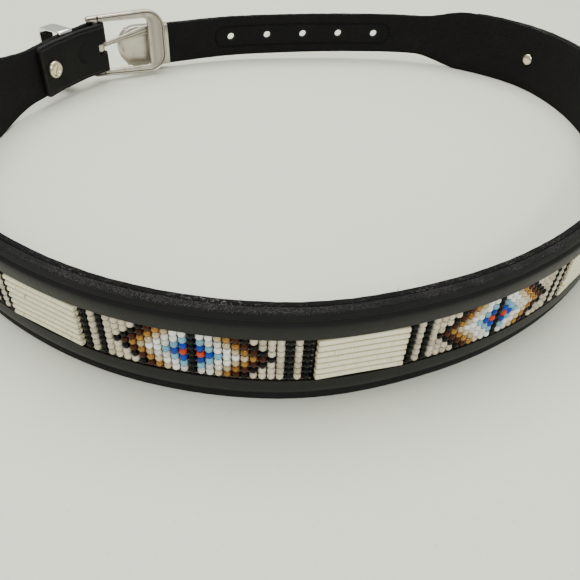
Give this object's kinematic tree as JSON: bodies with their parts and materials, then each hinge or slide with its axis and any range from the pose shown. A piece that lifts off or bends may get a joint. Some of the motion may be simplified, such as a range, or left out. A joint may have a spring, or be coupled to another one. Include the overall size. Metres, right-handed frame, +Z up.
{
  "type": "beaded belt",
  "caption": "Leather belt standing on edge in an open loop: a crowned face inlaid with bead bands and quill panels, a hinged frame buckle, a metal keeper and a metal tip.",
  "frame": {"origin": "under the middle of the belt's bounding box, on the surface that its lower edge stands on", "axes": "+X from the belt's left to its right as seen from the beaded front, +Y from the front to the back, +Z up"},
  "size_m": [0.3394, 0.3226, 0.0404],
  "materials": {
    "strap_leather": "black, rough on the inside, smooth on the narrow ends' outer side",
    "face_leather": "black, smooth and satin on the crowned bands",
    "quill": "ivory tubes, half gloss, with brown stains",
    "beads": "glossy opaque seed beads in a stepped diamond of several colours",
    "pale_brass": "worn pale brass",
    "bright_metal": "polished nickel",
    "cast_metal": "satin cast nickel with a fine grain and dark tarnish in the hollows"
  },
  "bodies": {
    "belt": {"backing_strap": "strap_leather", "face_leather": "face_leather", "quill_panel_1": "quill", "quill_panel_2": "quill", "quill_panel_3": "quill", "quill_panel_4": "quill", "quill_panel_5": "quill", "quill_panel_6": "quill", "bead_band_1": "beads", "bead_band_2": "beads", "bead_band_3": "beads", "bead_band_4": "beads", "bead_band_5": "beads", "flap_screw": "pale_brass", "end_rivet": "pale_brass", "keeper": "bright_metal", "billet_tip": "cast_metal"},
    "buckle": {"buckle_frame": "cast_metal"},
    "tongue": {"buckle_tongue": "cast_metal"}
  },
  "joints": [
    {"name": "buckle_swing", "type": "hinge", "parent": "belt", "child": "buckle", "pos_m": [-0.13254, 0.08633, 0.02115], "axis": [0, 0, -1], "range_deg": [0, 70]},
    {"name": "tongue_swing", "type": "hinge", "parent": "buckle", "child": "tongue", "pos_m": [-0.13254, 0.08633, 0.02115], "axis": [0, 0, 1], "range_deg": [0, 2.5]}
  ]
}
